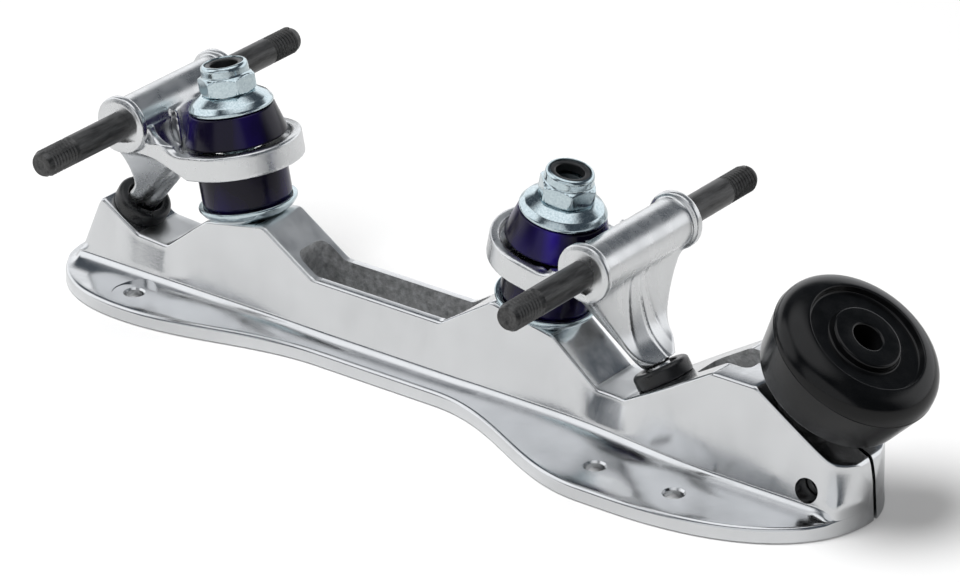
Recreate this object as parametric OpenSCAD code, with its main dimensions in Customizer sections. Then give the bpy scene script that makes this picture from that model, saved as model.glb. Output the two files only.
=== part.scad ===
// Roller skate plate with two sprung trucks and a screw-in toe stop.
// It lies on its boot face: +X points to the toe and +Z away from the boot.
// The origin is on the boot face, midway between the two axles.
// Sizes are in millimetres. The rear end is the front end mirrored, unless a size says otherwise.

/* [Axles] */
// Distance between the two axles
wheelbase = 160; // [150:1:176]
// Height of the axle lines over the boot face
axle_h = 57; // [55:0.5:62]
// Length of an axle from end to end
axle_len = 110.8; // [100:0.1:126]
// Diameter of an axle
axle_d = 7.94; // [7:0.02:8.2]
// Chamfer on the ends of an axle
axle_chamfer = 0.8; // [0.3:0.1:1.5]

/* [Plate outline] */
// Reach of the nose ahead of the front axle
nose_reach = 80.1; // [78:0.1:84]
// Reach of the heel behind the rear axle
heel_reach = 32; // [31:0.2:36]
// Width of the flange under the ball of the foot
ball_w = 78.2; // [72:0.2:90]
// Width of the flange at the waist
waist_w = 35.8; // [32:0.2:44]
// Width of the flange under the heel
heel_w = 57.4; // [52:0.2:66]
// Thickness of the flange
flange_t = 4.5; // [3.5:0.1:6]
// Rounding of the upper flange edge
flange_edge = 1.2; // [0.6:0.1:1.6]

/* [Hull] */
// Width of the hull over its two rails
hull_w = 18; // [17:0.2:22]
// Width of the block that carries the front pivot and the toe stop
nose_w = 26.4; // [24:0.2:30]
// Wall left beside the middle pocket
rail_wall = 2.7; // [2:0.1:4]
// Height of the rails between the two bosses
rail_h = 20.9; // [16:0.1:24]
// Height of the hollow between a boss and its pivot seat
valley_h = 16.3; // [13:0.1:18]
// Height of the land behind the toe stop
crest_h = 35.2; // [33:0.1:38]
// Height of the heel block
heel_h = 25; // [23:0.1:28]
// Fillet between the hull and the flange
foot_r = 3.6; // [2:0.1:5]
// Rounding of the upper hull edges
rim_r = 0.8; // [0.3:0.1:1.4]
// Lean of the side walls, in mm per mm of height
wall_lean = 0.035; // [0:0.005:0.07]
// Lean of the nose's front wall, in mm per mm of height
nose_lean = 0.065; // [0.04:0.001:0.1]
// Radius of the round front of the nose at its top
nose_r = 19; // [17:0.1:21]
// Depth of metal left under the middle pocket
pocket_floor = 4.5; // [3:0.1:8]

/* [Boot screws] */
// Diameter of the boot screw holes
screw_hole_d = 5.4; // [4.5:0.1:6.5]
// Spacing of the front holes along the plate
front_hole_x = 25.7; // [22:0.1:30]
// Spacing of the front holes across the plate
front_hole_y = 53.5; // [50:0.1:56]
// Spacing of the heel holes across the plate
heel_hole_y = 38; // [36:0.1:42]
// Diameter of the flat milled round a heel hole
spot_d = 13; // [11:0.2:15]

/* [Kingpins] */
// Distance of a kingpin from its axle, at the boss face
kingpin_offset = 28.7; // [27:0.1:31]
// Tilt of the kingpins towards the axles
kingpin_tilt = 11.3; // [9:0.1:13]
// Diameter of the kingpins
kingpin_d = 9.5; // [8:0.1:10.5]
// Height of the boss face at the kingpin
boss_h = 30; // [28:0.1:33]
// Width across the flats of the kingpin heads and lock nuts
nut_flats = 14.3; // [13.6:0.1:16]
// Height of the hexagon of a lock nut
nut_h = 5.2; // [4.5:0.1:7]
// Height of the round collar on a lock nut
collar_h = 3.4; // [3:0.1:5]

/* [Cushions] */
// Diameter of the cushions
cushion_d = 25.8; // [24:0.1:27]
// Height of a lower cushion
lower_cushion_h = 15; // [13:0.1:17]
// Height of an upper cushion
upper_cushion_h = 13.2; // [11:0.1:15]
// Diameter of the lower cup washers
lower_washer_d = 28.4; // [28:0.1:30]
// Diameter of the upper cup washers
upper_washer_d = 24.3; // [23.6:0.1:25]
// Sheet thickness of the cup washers
washer_t = 1.6; // [1:0.1:1.8]
// Depth of the cup washers
washer_depth = 4.4; // [4:0.1:5.5]

/* [Trucks] */
// Largest lean of a truck to either side, in degrees
lean = 8; // [4:0.5:10]
// Height of the ring that holds the cushions
ring_h = 7.2; // [6.5:0.1:9]
// Wall of the ring
ring_wall = 2.8; // [2.2:0.1:3.6]
// Room between the ring and its cushions
ring_room = 2.7; // [2:0.1:3.4]
// Thickness of the web inside the ring
web_t = 2.8; // [2:0.1:3.6]
// Diameter of the axle barrel
barrel_d = 13.5; // [12:0.1:15]
// Length of the barrel over its collars
barrel_len = 44; // [41:0.1:50]
// Diameter of the collars on the barrel
collar_d = 16.6; // [15.4:0.1:18]
// Thickness of a collar
collar_t = 2.5; // [2:0.1:4]

/* [Pivots] */
// Distance of a pivot seat outside its axle
pivot_offset = 12.2; // [11:0.1:14]
// Height of a pivot seat at its middle
pivot_h = 20.7; // [20:0.1:22]
// Tilt of the pivot seats
pivot_tilt = 31.5; // [28:0.5:35]
// Diameter of the rubber pivot cups
cup_d = 16.2; // [15:0.1:17.4]
// Height of a pivot cup over its seat
cup_h = 4.4; // [3.5:0.1:5.5]
// Diameter of the ball on a pivot pin
ball_d = 8.6; // [7.6:0.1:9.2]

/* [Toe stop] */
// Distance of the toe stop seat ahead of the front axle
toe_offset = 60.2; // [58:0.1:62]
// Height of the toe stop seat on the toe stop's axis
toe_h = 28.5; // [27:0.1:30]
// Tilt of the toe stop towards the toe
toe_tilt = 33.2; // [31:0.2:36]
// Largest diameter of the toe stop
toe_d = 48.8; // [42:0.2:54]
// Diameter of the toe stop at its back
toe_back_d = 42.8; // [38:0.2:48]
// Thickness of the toe stop
toe_t = 20.1; // [18:0.1:26]
// Rounding of the front edge of the toe stop
toe_r = 7; // [4:0.1:8]
// Diameter of the threaded stem
stem_d = 15.9; // [14:0.1:17]
// Length of the stem below the seat
stem_depth = 20; // [16:0.2:22]
// Travel of the toe stop to either side of its set position
toe_travel = 7.4; // [6:0.1:10]
// Width of the clamp slit in the nose
slit_w = 1.4; // [0.8:0.1:2.4]
// Diameter of the counterbore for the clamp screw
clamp_bore_d = 7; // [6.6:0.1:8]

/* [Hidden] */
$fn = 64;

// Clearances: a press fit, a running fit, a slip fit and the room kept between parts that move
press = 0.02;
running = 0.1;
slip = 0.15;
room = 0.3;
eps = 0.01;

// Places along the plate
axle_x = wheelbase / 2;
kingpin_x = axle_x - kingpin_offset;
pivot_x = axle_x + pivot_offset;
toe_x = axle_x + toe_offset;
toe_gap = toe_travel + 1.3;
toe_end = axle_x + nose_reach;
heel_end = axle_x + heel_reach;

// Heights along a kingpin, counted from the boss face
lower_cushion_z = washer_t;
web_z = lower_cushion_z + lower_cushion_h + seat_gap(cushion_hole_r());
ring_z = web_z + web_t / 2;
upper_cushion_z = web_z + web_t + seat_gap(cushion_hole_r());
upper_washer_z = upper_cushion_z + upper_cushion_h - (washer_depth - washer_t);
nut_z = upper_washer_z + washer_depth;
nut_top = nut_z + nut_h + collar_h;
insert_t = 2.6;
insert_z = nut_top - insert_t - 0.3;
head_t = 6;
nut_turn = [14, 30];

// A truck leans about the line from its pivot ball to the middle of its ring
pivot_ball = 0.8;
function cushion_hole_r() = kingpin_d / 2 + 0.5;
function seat_gap(r) = room + r * tan(lean);

// Sizes that follow from the ones above
ring_in_r = cushion_d / 2 + ring_room;
ring_out_r = ring_in_r + ring_wall;
web_hole_r = kingpin_d / 2 + 3.2;
kingpin_hole_r = kingpin_d / 2 + slip;
stem_hole_r = stem_d / 2 + running;
axle_seat_r = axle_d / 2 + 0.2;
cup_plug_r = cup_d / 2 - 1.7;
cup_plug_h = 7;
cup_sink = 0.3;
cup_mouth_r = ball_d / 2 + cup_h * tan(lean) + room;

// Flange outline: an S curve from 0 to 1 and a rounded end
function blend(a, b, t) = a + (b - a) * (1 - cos(180 * max(0, min(1, t)))) / 2;
function end_cap(h, t, n) = h * pow(max(0, 1 - pow(min(1, t), n)), 1 / n);
heel_power = 2.25;
near_power = 2.3;
far_power = 1.7;
heel_x = -axle_x + 4;
waist_rear = -axle_x + 66;
waist_front = axle_x - 53;
ball_rear = axle_x + 11;
ball_front = axle_x + 19;
function half_w(x, side) =
    x < heel_x ? end_cap(heel_w / 2, (heel_x - x) / (heel_x + heel_end), heel_power) :
    x < waist_rear ? blend(heel_w, waist_w, (x - heel_x) / (waist_rear - heel_x)) / 2 :
    x < waist_front ? waist_w / 2 :
    x < ball_rear ? blend(waist_w, ball_w, (x - waist_front) / (ball_rear - waist_front)) / 2 :
    x < ball_front ? ball_w / 2 :
    end_cap(ball_w / 2, (x - ball_front) / (toe_end - ball_front), side > 0 ? far_power : near_power);

// Upper profile of the hull as [x, z, pieces up to the next point]
boss_in = 11.3;
boss_out = 9.1;
boss_rise = tan(kingpin_tilt);
boss_in_h = boss_h + boss_in * boss_rise;
boss_out_h = boss_h - boss_out * boss_rise;
slope_run = (boss_in_h - rail_h) / 0.65;
valley_run = (boss_out_h - valley_h) / 0.8;
function seat_x(h) = pivot_x + (h - pivot_h) / tan(pivot_tilt);
function nose_slope_x(h) = toe_x + (toe_h - h) / tan(toe_tilt);
heel_valley_h = valley_h + 0.7;
heel_foot = heel_end - 4;
nose_front = toe_end - 1.2;
nose_mid = nose_front - nose_r;
nose_rim_x = nose_front - 0.3;
nose_knee_x = min(toe_x + 13, nose_rim_x - 2);
nose_knee_h = toe_h - (nose_knee_x - toe_x) * tan(toe_tilt);
nose_rim_h = nose_knee_h - 0.45 * (nose_rim_x - nose_knee_x);
profile = [
    [-heel_end + 0.15, flange_t, 3],
    [-heel_foot, flange_t, 3],
    [-seat_x(heel_h), heel_h, 4],
    [-seat_x(heel_valley_h), heel_valley_h, 3],
    [-kingpin_x - boss_out - valley_run, valley_h, 3],
    [-kingpin_x - boss_out, boss_out_h, 4],
    [-kingpin_x + boss_in, boss_in_h, 4],
    [-kingpin_x + boss_in + slope_run, rail_h, 8],
    [kingpin_x - boss_in - slope_run, rail_h, 4],
    [kingpin_x - boss_in, boss_in_h, 4],
    [kingpin_x + boss_out, boss_out_h, 3],
    [kingpin_x + boss_out + valley_run, valley_h, 3],
    [seat_x(valley_h), valley_h, 7],
    [seat_x(crest_h), crest_h, 3],
    [nose_slope_x(crest_h), crest_h, 6],
    [nose_knee_x, nose_knee_h, 6],
    [nose_rim_x, nose_rim_h, 5],
    [toe_end - 0.15, flange_t, 1]
];
stations = [
    for (i = [0 : len(profile) - 2])
        for (k = [0 : profile[i][2] - 1])
            profile[i][0] + (profile[i + 1][0] - profile[i][0]) * k / profile[i][2],
    profile[len(profile) - 1][0]
];
function hull_top(x) = min(
    lookup(x, [for (p = profile) [p[0], p[1]]]),
    (toe_end - 0.05 - x) / nose_lean
);
function hull_half(x) = blend(hull_w, nose_w, (x - seat_x(valley_h)) / 22) / 2;

// Front of the nose: a cone that flares to the sole, more on the near side than on the far side
near_flare = 3.6;
near_grow = 1;
far_flare = 1.2;
function soft_min(a, b, n) = pow(pow(max(a, 0.05), -n) + pow(max(b, 0.05), -n), -1 / n);
function nose_wall(x, z, side) =
    let (r = nose_r + (side > 0 ? 0 : near_grow) + (side > 0 ? far_flare : near_flare) * max(0, 1 - z / nose_rim_h))
    sqrt(max(0, r * r - pow(max(0, x - nose_mid), 2)));
function block_half(x, z, side) =
    x < nose_mid ? hull_half(x) : min(soft_min(hull_half(x), nose_wall(x, z, side), 4), half_w(x + nose_lean * z, side));

// One half of a cross-section: flange edge, flange top, fillet, wall and rim
fillet_steps = 4;
function half_section(x, side) =
    let (
        top = hull_top(x),
        flange = min(flange_t, top),
        rise = max(0, top - flange),
        out = half_w(x < ball_front ? x : x + nose_lean * flange, side),
        wall = max(0.05, min(block_half(x, flange, side) + wall_lean * rise, out - 0.1)),
        edge = min(flange_edge, flange / 2, (out - wall) / 2),
        foot = min(foot_r, 0.6 * rise),
        foot_run = max(0, min(foot_r, out - edge - wall)),
        rim = min(rim_r, 0.3 * rise),
        crown = max(0.05, min(block_half(x, top, side), wall))
    )
    concat(
        [[max(0.06, half_w(x, side)), 0], [max(0.06, out), flange - edge],
         [max(0.06, out - 0.3 * edge), flange - 0.3 * edge], [max(0.06, out - edge), flange]],
        [for (k = [0 : fillet_steps]) let (a = 90 * k / fillet_steps)
            [wall + foot_run * (1 - sin(a)), flange + foot * (1 - cos(a))]],
        [[crown, top - rim], [max(0.04, crown - max(rim, 0.01)), top]]
    );
function section(x) =
    let (far = half_section(x, 1), near = half_section(x, -1), n = len(near))
    concat([for (p = far) [x, p[0], p[1]]], [for (i = [n - 1 : -1 : 0]) [x, -near[i][0], near[i][1]]]);

// Casting skinned over the cross-sections
module plate_casting() {
    rings = [for (x = stations) section(x)];
    n = len(rings[0]);
    m = len(rings);
    skin = [
        for (i = [0 : m - 2]) for (k = [0 : n - 1])
            let (a = i * n + k, b = i * n + (k + 1) % n, c = a + n, d = b + n)
            each [[a, d, b], [a, c, d]]
    ];
    caps = [[for (k = [0 : n - 1]) k], [for (k = [n - 1 : -1 : 0]) (m - 1) * n + k]];
    polyhedron([for (r = rings) each r], concat(skin, caps));
}

// Mirrors the front end's parts to the rear
module at_end(rear) { mirror([rear ? 1 : 0, 0, 0]) children(); }

module on_kingpin(z = 0) {
    translate([kingpin_x, 0, boss_h]) rotate([0, kingpin_tilt, 0]) translate([0, 0, z]) children();
}

module on_pivot(z = 0) {
    translate([pivot_x, 0, pivot_h]) rotate([0, -pivot_tilt, 0]) translate([0, 0, z]) children();
}

module on_toe(z = 0) {
    translate([toe_x, 0, toe_h]) rotate([0, toe_tilt, 0]) translate([0, 0, z]) children();
}

module hexagon(flats, h) { cylinder(d = flats / cos(30), h = h, $fn = 6); }

// Pocket with round corners, from z upwards
module pocket(x0, x1, half, z, r = 3) {
    translate([0, 0, z]) linear_extrude(60) union() {
        translate([x0 + r, -half]) square([x1 - x0 - 2 * r, 2 * half]);
        translate([x0, r - half]) square([x1 - x0, 2 * (half - r)]);
        for (x = [x0 + r, x1 - r], y = [r - half, half - r]) translate([x, y]) circle(r);
    }
}

head_z = -boss_h / cos(kingpin_tilt) + nut_flats / 2 * tan(kingpin_tilt) / cos(30) + 1;
front_hole_mid = axle_x + 21;
heel_hole_x = -axle_x + 1;
clamp_x = toe_x + 7.5;
clamp_z = 10.9;
clamp_head_h = 4;
clamp_sink = 3.5;
clamp_seat = nose_w / 2 - clamp_sink - clamp_head_h;
clamp_shank_r = 2;
clamp_end = nose_w / 2 - 4;

module kingpin_bores() {
    on_kingpin(-boss_h - 10) cylinder(r = kingpin_hole_r, h = boss_h + 20);
    on_kingpin(head_z - 10) hexagon(nut_flats + 2 * slip, head_t + 10);
    on_pivot(-cup_plug_h) cylinder(r = cup_plug_r, h = cup_plug_h + 20);
    on_pivot(-cup_sink) cylinder(r = cup_d / 2 + slip, h = 20);
}

module clamp_bores() {
    translate([clamp_x, 0, clamp_z]) rotate([90, 0, 0]) {
        translate([0, 0, clamp_seat]) cylinder(d = clamp_bore_d, h = nose_w);
        cylinder(r = clamp_shank_r + slip, h = nose_w / 2);
        translate([0, 0, -clamp_end - 1]) cylinder(r = clamp_shank_r + running / 2, h = clamp_end + 1 + eps);
    }
}

module screw_holes() {
    for (x = [-1, 1], y = [-1, 1])
        translate([front_hole_mid + x * front_hole_x / 2, y * front_hole_y / 2, -1])
            cylinder(d = screw_hole_d, h = flange_t + 2);
    for (y = [-1, 1]) translate([heel_hole_x, y * heel_hole_y / 2, 0]) {
        translate([0, 0, -1]) cylinder(d = screw_hole_d, h = flange_t + 2);
        translate([0, 0, flange_t - 0.2]) cylinder(d = spot_d, h = 2 * foot_r);
    }
}

module plate() color("#c9ccd0") difference() {
    plate_casting();
    pocket(-kingpin_x + boss_in + 10, kingpin_x - boss_in - 10, hull_w / 2 - rail_wall, pocket_floor);
    pocket(seat_x(crest_h) - 11, nose_slope_x(crest_h) - 7, 5.5, pivot_h - 0.5);
    for (rear = [false, true]) at_end(rear) kingpin_bores();
    on_toe(-60) cylinder(r = stem_hole_r, h = 90);
    translate([seat_x(crest_h), -slit_w / 2, -1]) cube([toe_end, slit_w, crest_h + 10]);
    clamp_bores();
    screw_holes();
}

// Truck hanger: barrel for the axle, ring on the kingpin and an arm down to the pivot pin
module axle_rod(d, len) {
    translate([axle_x, 0, axle_h]) rotate([90, 0, 0]) cylinder(d = d, h = len, center = true);
}

arm_half = barrel_len / 2 - collar_t - 1.5;
scoop_r = 10.9;
rib_half = 8.6;
well_r = 5.5;

// Frame of the ring: x along its plane towards the axle, z along the kingpin
module on_ring(x, z) { on_kingpin(ring_z) translate([x, 0, z]) children(); }

module across(r, len) { rotate([90, 0, 0]) cylinder(r = r, h = len, center = true); }

// Room over the ring: flat above the side walls, then a hollow curve up to the barrel
module yoke_scoop() {
    wide = 3 * ring_out_r;
    top = ring_h / 2;
    on_ring(ring_out_r - 2.5 - scoop_r, top + scoop_r) {
        across(scoop_r, wide);
        translate([-wide, -wide / 2, -scoop_r]) cube([wide, wide, wide]);
        translate([-wide, -wide / 2, 0]) cube([wide + scoop_r, wide, wide]);
    }
    for (side = [-1, 1]) on_ring(ring_out_r - 2 - well_r, web_t / 2 + 1 + well_r)
        translate([0, side * (rib_half + ring_in_r) / 2, 0]) across(well_r, ring_in_r - rib_half);
}

module ring_yoke() {
    difference() {
        hull() {
            on_ring(0, -ring_h / 2) cylinder(r = ring_out_r, h = ring_h);
            axle_rod(barrel_d - 1, 2 * arm_half);
        }
        yoke_scoop();
    }
}

// Block behind the nut, from the ring up to the barrel
ring_mid = [kingpin_x + ring_z * sin(kingpin_tilt), boss_h + ring_z * cos(kingpin_tilt)];
axle_reach = [axle_x, axle_h] - ring_mid;
axle_u = axle_reach[0] * cos(kingpin_tilt) - axle_reach[1] * sin(kingpin_tilt);
axle_v = axle_reach[0] * sin(kingpin_tilt) + axle_reach[1] * cos(kingpin_tilt);
module saddle_block() {
    on_ring(ring_in_r - 4, 0) translate([0, -rib_half, 0])
        cube([axle_u - ring_in_r + 4, 2 * rib_half, axle_v + barrel_d / 12]);
}

// Arm to the pivot: a keel from the barrel and the ring down to the pin, with a ridge in front
web_end = cup_h + 1.4;
web_r = 2.5;
web_root = 10.5;
module pivot_arm() {
    root = ring_mid + (ring_out_r - 0.5) * [cos(kingpin_tilt), -sin(kingpin_tilt)]
        - (ring_h / 2 - 1) * [sin(kingpin_tilt), cos(kingpin_tilt)];
    hull() {
        on_pivot(web_end - 0.6) translate([-1.2, 0, 0]) cylinder(d = ball_d - 1.6, h = 1);
        translate([axle_x + 0.4, 0, axle_h - barrel_d / 2 - 3.7]) across(web_r, 2 * arm_half - 1);
        translate([root[0], 0, root[1]]) across(1.2, 2 * web_root);
    }
    hull() {
        on_pivot(web_end - 0.6) cylinder(d = ball_d + 0.9, h = 1);
        translate([axle_x + 0.6, 0, axle_h - barrel_d / 2 + 2]) sphere(r = 1);
    }
    on_pivot(pivot_ball) cylinder(d = ball_d - 1, h = web_end);
}

module truck(rear) at_end(rear) color("#bfc2c6") difference() {
    union() {
        ring_yoke();
        saddle_block();
        pivot_arm();
        on_pivot(pivot_ball) sphere(d = ball_d);
        axle_rod(barrel_d, barrel_len);
        for (side = [-1, 1])
            translate([0, side * (barrel_len - collar_t) / 2, 0]) axle_rod(collar_d, collar_t);
    }
    axle_rod(2 * (axle_seat_r + press), 2 * barrel_len);
    on_kingpin() cylinder(r = ring_in_r, h = web_z);
    on_ring(0, -web_t) cylinder(r = web_hole_r, h = 2 * web_t);
    on_ring(0, web_t / 2) cylinder(r = ring_in_r, h = nut_top);
}

// Axle with a thicker seat where it is pressed into the barrel
module axle(rear) at_end(rear) color("#2f3133") {
    r = axle_d / 2;
    tip = axle_len / 2;
    seat = barrel_len / 2;
    half = [[axle_seat_r, seat], [r, seat], [r, tip - axle_chamfer], [r - axle_chamfer, tip], [0, tip]];
    translate([axle_x, 0, axle_h]) rotate([90, 0, 0]) rotate_extrude() polygon(concat(
        half, [for (i = [len(half) - 1 : -1 : 0]) [half[i][0], -half[i][1]]]
    ));
}

module kingpin(rear) at_end(rear) color("#9aa0a6") {
    on_kingpin(head_z) hexagon(nut_flats, head_t);
    on_kingpin(head_z + head_t - eps) cylinder(d = kingpin_d, h = insert_z - 0.5 - head_z - head_t);
}

module lock_nut(rear) at_end(rear) color("#b7c1c6") on_kingpin(nut_z) difference() {
    union() {
        rotate([0, 0, nut_turn[rear ? 1 : 0]]) hexagon(nut_flats, nut_h);
        cylinder(d = nut_flats - 0.3, h = nut_h + collar_h - 0.8);
        translate([0, 0, nut_h + collar_h - 0.8])
            cylinder(d1 = nut_flats - 0.3, d2 = nut_flats - 1.9, h = 0.8);
    }
    translate([0, 0, -1]) cylinder(d = kingpin_d + 2 * press, h = nut_h + collar_h + 2);
    translate([0, 0, insert_z - nut_z]) cylinder(d = kingpin_d + 1.9, h = collar_h + 1);
}

module nut_insert(rear) at_end(rear) color("#1b1c1d") on_kingpin(insert_z) difference() {
    cylinder(d = kingpin_d + 1.8, h = insert_t);
    translate([0, 0, -1]) cylinder(d = kingpin_d - 1.5, h = insert_t + 2);
}

// Cup washer with its mouth upwards, from its flat back at z = 0
module cup_washer(d, depth) {
    r = d / 2;
    t = washer_t;
    rotate_extrude() polygon([
        [kingpin_hole_r, 0], [r - 4.2, 0], [r - 1.2, 1.8], [r, 3.4], [r, depth],
        [r - t, depth], [r - t, 3.6], [r - t - 0.9, 2.6], [r - 4.4, t], [kingpin_hole_r, t]
    ]);
}

module lower_washer(rear) at_end(rear) color("#b9cdd4") on_kingpin() cup_washer(lower_washer_d, washer_depth);

module upper_washer(rear) at_end(rear) color("#b9cdd4")
    on_kingpin(nut_z) mirror([0, 0, 1]) cup_washer(upper_washer_d, washer_depth);

// The faces next to the ring slope away so that the ring can lean between the cushions
module lower_cushion(rear) at_end(rear) color("#2a1f5c") on_kingpin(lower_cushion_z) {
    r = cushion_d / 2;
    h = lower_cushion_h;
    seat_r = lower_washer_d / 2 - washer_t - slip;
    fall = tan(lean);
    rotate_extrude() polygon([
        [cushion_hole_r(), 0], [lower_washer_d / 2 - 4.8, 0], [seat_r - 1, 1.5], [min(seat_r, r), 2.6],
        [min(seat_r, r), washer_depth - washer_t], [r, washer_depth - washer_t + 0.6],
        [r, h - (r - cushion_hole_r()) * fall - 0.9],
        [r - 0.9, h - (r - 0.9 - cushion_hole_r()) * fall], [cushion_hole_r(), h]
    ]);
}

module upper_cushion(rear) at_end(rear) color("#2a1f5c") on_kingpin(upper_cushion_z) {
    r = cushion_d / 2 - 0.4;
    h = upper_cushion_h;
    cup_r = upper_washer_d / 2 - washer_t - slip;
    brim = h - (washer_depth - washer_t);
    fall = tan(lean);
    rotate_extrude() polygon([
        [cushion_hole_r(), 0], [r - 0.9, (r - 0.9 - cushion_hole_r()) * fall],
        [r, (r - cushion_hole_r()) * fall + 0.9], [cup_r + 1.2, brim - 0.3], [cup_r, brim],
        [cup_r, h - 2.2], [cup_r - 1, h - 1.4], [upper_washer_d / 2 - 4.8, h], [cushion_hole_r(), h]
    ]);
}

module pivot_cup(rear) at_end(rear) color("#161718") on_pivot() difference() {
    rotate_extrude() polygon([
        [0, slip - cup_plug_h], [cup_plug_r - slip, slip - cup_plug_h], [cup_plug_r - slip, -cup_sink],
        [cup_d / 2, -cup_sink],
        [cup_d / 2, cup_h - 1.2], [cup_d / 2 - 1.2, cup_h], [0, cup_h]
    ]);
    translate([0, 0, pivot_ball]) sphere(d = ball_d + 2 * running);
    translate([0, 0, pivot_ball])
        cylinder(r1 = ball_d / 2 + running, r2 = cup_mouth_r, h = cup_h - pivot_ball + eps);
}

// Toe stop: rubber block on a threaded stem with a flange moulded into it
stem_flange_r = 14;
stem_flange_t = 3;
stem_flange_z = toe_gap + 4;
module stem_body(grow) {
    cylinder(r = stem_d / 2 + grow, h = stem_flange_z + eps);
    translate([0, 0, stem_flange_z]) cylinder(r = stem_flange_r + grow, h = stem_flange_t + grow);
}

module toe_stop() color("#1d1e20") on_toe() difference() {
    rotate_extrude() difference() {
        union() {
            polygon([
                [0, toe_gap], [toe_back_d / 2 - 1, toe_gap], [toe_back_d / 2, toe_gap + 1],
                [toe_d / 2, toe_gap + toe_t - toe_r],
                [toe_d / 2 - toe_r, toe_gap + toe_t], [0, toe_gap + toe_t]
            ]);
            intersection() {
                translate([toe_d / 2 - toe_r, toe_gap + toe_t - toe_r]) circle(toe_r);
                square([toe_d, toe_gap + toe_t]);
            }
        }
        translate([10, toe_gap + toe_t - 2.2]) square([6.6, 5]);
        translate([0, toe_gap + toe_t - 7]) square([4, 20]);
    }
    translate([0, 0, -eps]) stem_body(press);
}

module toe_stop_stem() color("#8d9297") on_toe() {
    stem_body(0);
    translate([0, 0, -stem_depth]) cylinder(d1 = stem_d - 3, d2 = stem_d, h = 1.5);
    translate([0, 0, -stem_depth + 1.5 - eps]) cylinder(d = stem_d, h = stem_depth - 1.5 + 2 * eps);
}

module clamp_screw() color("#3a3c3f") translate([clamp_x, 0, clamp_z]) rotate([90, 0, 0]) difference() {
    union() {
        translate([0, 0, clamp_seat]) cylinder(d = clamp_bore_d - 2 * slip, h = clamp_head_h);
        translate([0, 0, -clamp_end]) cylinder(r = clamp_shank_r, h = clamp_end + clamp_seat + eps);
    }
    translate([0, 0, clamp_seat + clamp_head_h - 2.2]) hexagon(3, 3);
}

plate();
truck(false);  // front_truck
truck(true);  // rear_truck
axle(false);  // front_axle
axle(true);  // rear_axle
kingpin(false);  // front_kingpin
kingpin(true);  // rear_kingpin
lock_nut(false);  // front_lock_nut
lock_nut(true);  // rear_lock_nut
nut_insert(false);  // front_nut_insert
nut_insert(true);  // rear_nut_insert
upper_washer(false);  // front_upper_washer
upper_washer(true);  // rear_upper_washer
lower_washer(false);  // front_lower_washer
lower_washer(true);  // rear_lower_washer
upper_cushion(false);  // front_upper_cushion
upper_cushion(true);  // rear_upper_cushion
lower_cushion(false);  // front_lower_cushion
lower_cushion(true);  // rear_lower_cushion
pivot_cup(false);  // front_pivot_cup
pivot_cup(true);  // rear_pivot_cup
toe_stop();
toe_stop_stem();
clamp_screw();
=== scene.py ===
from math import acos, atan2, cos, pi, radians, sin, sqrt, tan

import bmesh
import bpy
import numpy as np
from mathutils import Matrix


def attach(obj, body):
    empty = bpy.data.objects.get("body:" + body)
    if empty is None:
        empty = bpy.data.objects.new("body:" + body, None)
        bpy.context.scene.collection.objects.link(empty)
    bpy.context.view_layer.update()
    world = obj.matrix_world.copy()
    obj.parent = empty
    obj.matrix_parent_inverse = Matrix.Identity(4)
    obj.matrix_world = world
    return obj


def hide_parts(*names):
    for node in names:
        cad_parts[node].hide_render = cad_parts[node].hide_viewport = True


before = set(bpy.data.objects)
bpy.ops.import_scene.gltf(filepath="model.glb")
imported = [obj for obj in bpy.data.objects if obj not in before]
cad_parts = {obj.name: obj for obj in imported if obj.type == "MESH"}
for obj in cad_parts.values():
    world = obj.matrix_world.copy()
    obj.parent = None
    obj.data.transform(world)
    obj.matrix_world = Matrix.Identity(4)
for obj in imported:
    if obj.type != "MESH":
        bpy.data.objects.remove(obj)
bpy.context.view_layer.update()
mm = 0.001
norm = np.linalg.norm
print("stage: frame loaded,", len(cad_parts), "nodes")

# places shared by all pieces, in mm and degrees; the rear end mirrors the front
layout = {
    "axleX": 80.0, "axleH": 57.0,
    "kingpinX": 51.3, "bossH": 30.0, "kingpinTilt": 11.3,
    "pivotX": 92.2, "pivotH": 20.7, "pivotTilt": 31.5,
    "toeX": 140.2, "toeH": 28.5, "toeTilt": 33.2, "clampX": 147.7, "clampH": 10.9,
    "ringZ": 19.04, "nutZ": 36.276, "upperCushionZ": 21.48,
}


# small mesh helpers

class Sizes(dict):  # settings of a piece, read as s.name
    __getattr__ = dict.__getitem__


def turnedFrame(x, z, tilt):  # frame in the middle plane, leaning towards +X
    return np.array(Matrix.Translation((x, 0, z)) @ Matrix.Rotation(radians(tilt), 4, "Y"))


kingpinFrame = turnedFrame(layout["kingpinX"], layout["bossH"], layout["kingpinTilt"])
pivotFrame = turnedFrame(layout["pivotX"], layout["pivotH"], -layout["pivotTilt"])
toeFrame = turnedFrame(layout["toeX"], layout["toeH"], layout["toeTilt"])
acrossFrame = np.array(Matrix.Rotation(radians(90), 4, "X"))  # local z along -Y
flipFrame = np.array(Matrix.Rotation(pi, 4, "X"))
bothEnds = (("front", False), ("rear", True))  # name, mirrored


def placed(verts, place):
    co = np.asarray(verts, float)
    return co @ place[:3, :3].T + place[:3, 3]


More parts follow.
